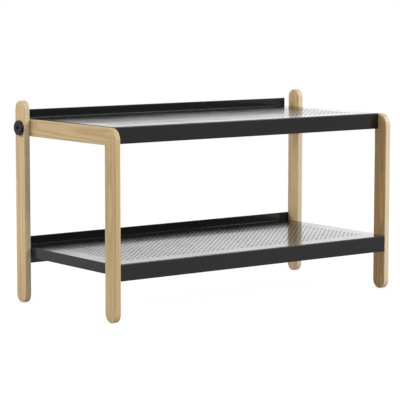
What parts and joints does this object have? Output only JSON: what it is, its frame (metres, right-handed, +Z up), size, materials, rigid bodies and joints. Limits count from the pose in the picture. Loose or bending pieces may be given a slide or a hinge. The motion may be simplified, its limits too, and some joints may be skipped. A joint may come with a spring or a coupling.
{
  "type": "two-tier rack",
  "caption": "Low two-tier hutch or rack: pale ash end frames with round-ended legs, joined by two black perforated steel trays with raised rear lips",
  "frame": {"origin": "on the floor, under the middle of the rack", "axes": "+X along the trays to the right, +Y to the back, +Z up"},
  "size_m": [0.8026, 0.364, 0.4435],
  "materials": {
    "ash": "matt clear lacquer on ash, grain along each stick",
    "beech_dowel": "raw beech",
    "black_sheet_steel": "satin black powder coat on sheet steel",
    "black_hardware": "black coated steel",
    "brass_insert": "turned brass"
  },
  "bodies": {
    "root": {"left_rear_leg": "ash", "left_front_leg": "ash", "left_top_rail": "ash", "left_corner_dowels": "beech_dowel", "left_lap_dowels": "beech_dowel", "left_frame_bolt": "black_hardware", "left_bolt_bush": "brass_insert", "right_rear_leg": "ash", "right_front_leg": "ash", "right_top_rail": "ash", "right_corner_dowels": "beech_dowel", "right_lap_dowels": "beech_dowel", "right_frame_bolt": "black_hardware", "right_bolt_bush": "brass_insert", "upper_tray": "black_sheet_steel", "lower_tray": "black_sheet_steel", "upper_tray_screws": "black_hardware", "lower_tray_screws": "black_hardware", "upper_tray_inserts": "brass_insert", "lower_tray_inserts": "brass_insert"}
  },
  "joints": []
}
